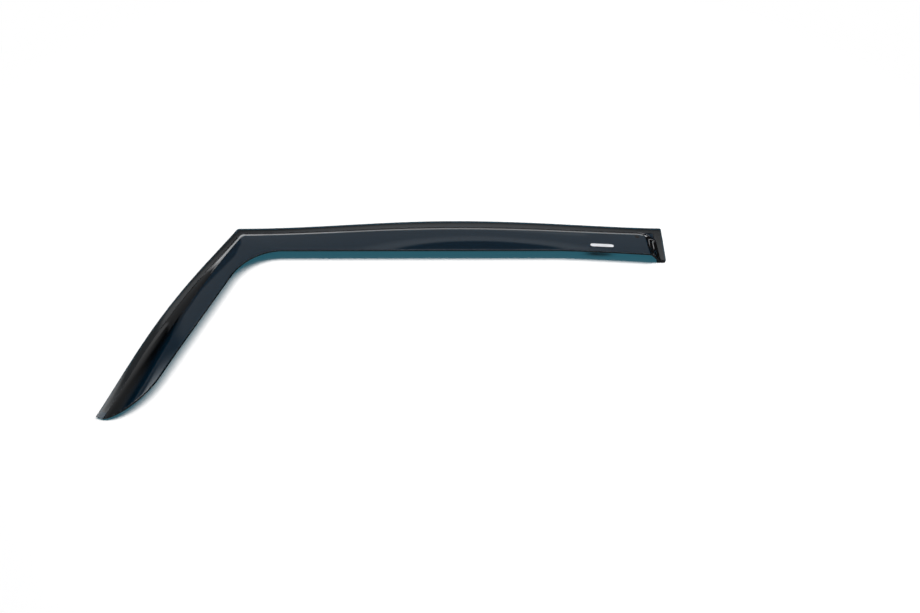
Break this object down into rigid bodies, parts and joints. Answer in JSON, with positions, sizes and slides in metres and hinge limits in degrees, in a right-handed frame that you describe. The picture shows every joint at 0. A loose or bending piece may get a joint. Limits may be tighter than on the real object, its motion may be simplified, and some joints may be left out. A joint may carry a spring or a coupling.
{
  "type": "window rain deflector",
  "caption": "L-shaped smoked acrylic window rain deflector: a taped flange, a raised free edge and an arm that tapers down the windscreen pillar.",
  "frame": {"origin": "under the middle of the part's plan, on the plane of the tape's release liner", "axes": "+X along the top edge towards the rear end, +Y up the door, +Z away from the door"},
  "size_m": [0.8766, 0.3948, 0.0196],
  "materials": {
    "smoked_acrylic": "polished smoked acrylic with a blue-green cast in thin light",
    "foam_tape": "black closed-cell foam with sticky faces",
    "liner_film": "red release film, satin",
    "foil": "bright silver foil under a clear coat"
  },
  "bodies": {
    "root": {"visor": "smoked_acrylic", "top_tape": "foam_tape", "pillar_tape": "foam_tape", "end_tape": "foam_tape", "top_liner": "liner_film", "pillar_liner": "liner_film", "end_liner": "liner_film", "badge": "foil"}
  },
  "joints": []
}
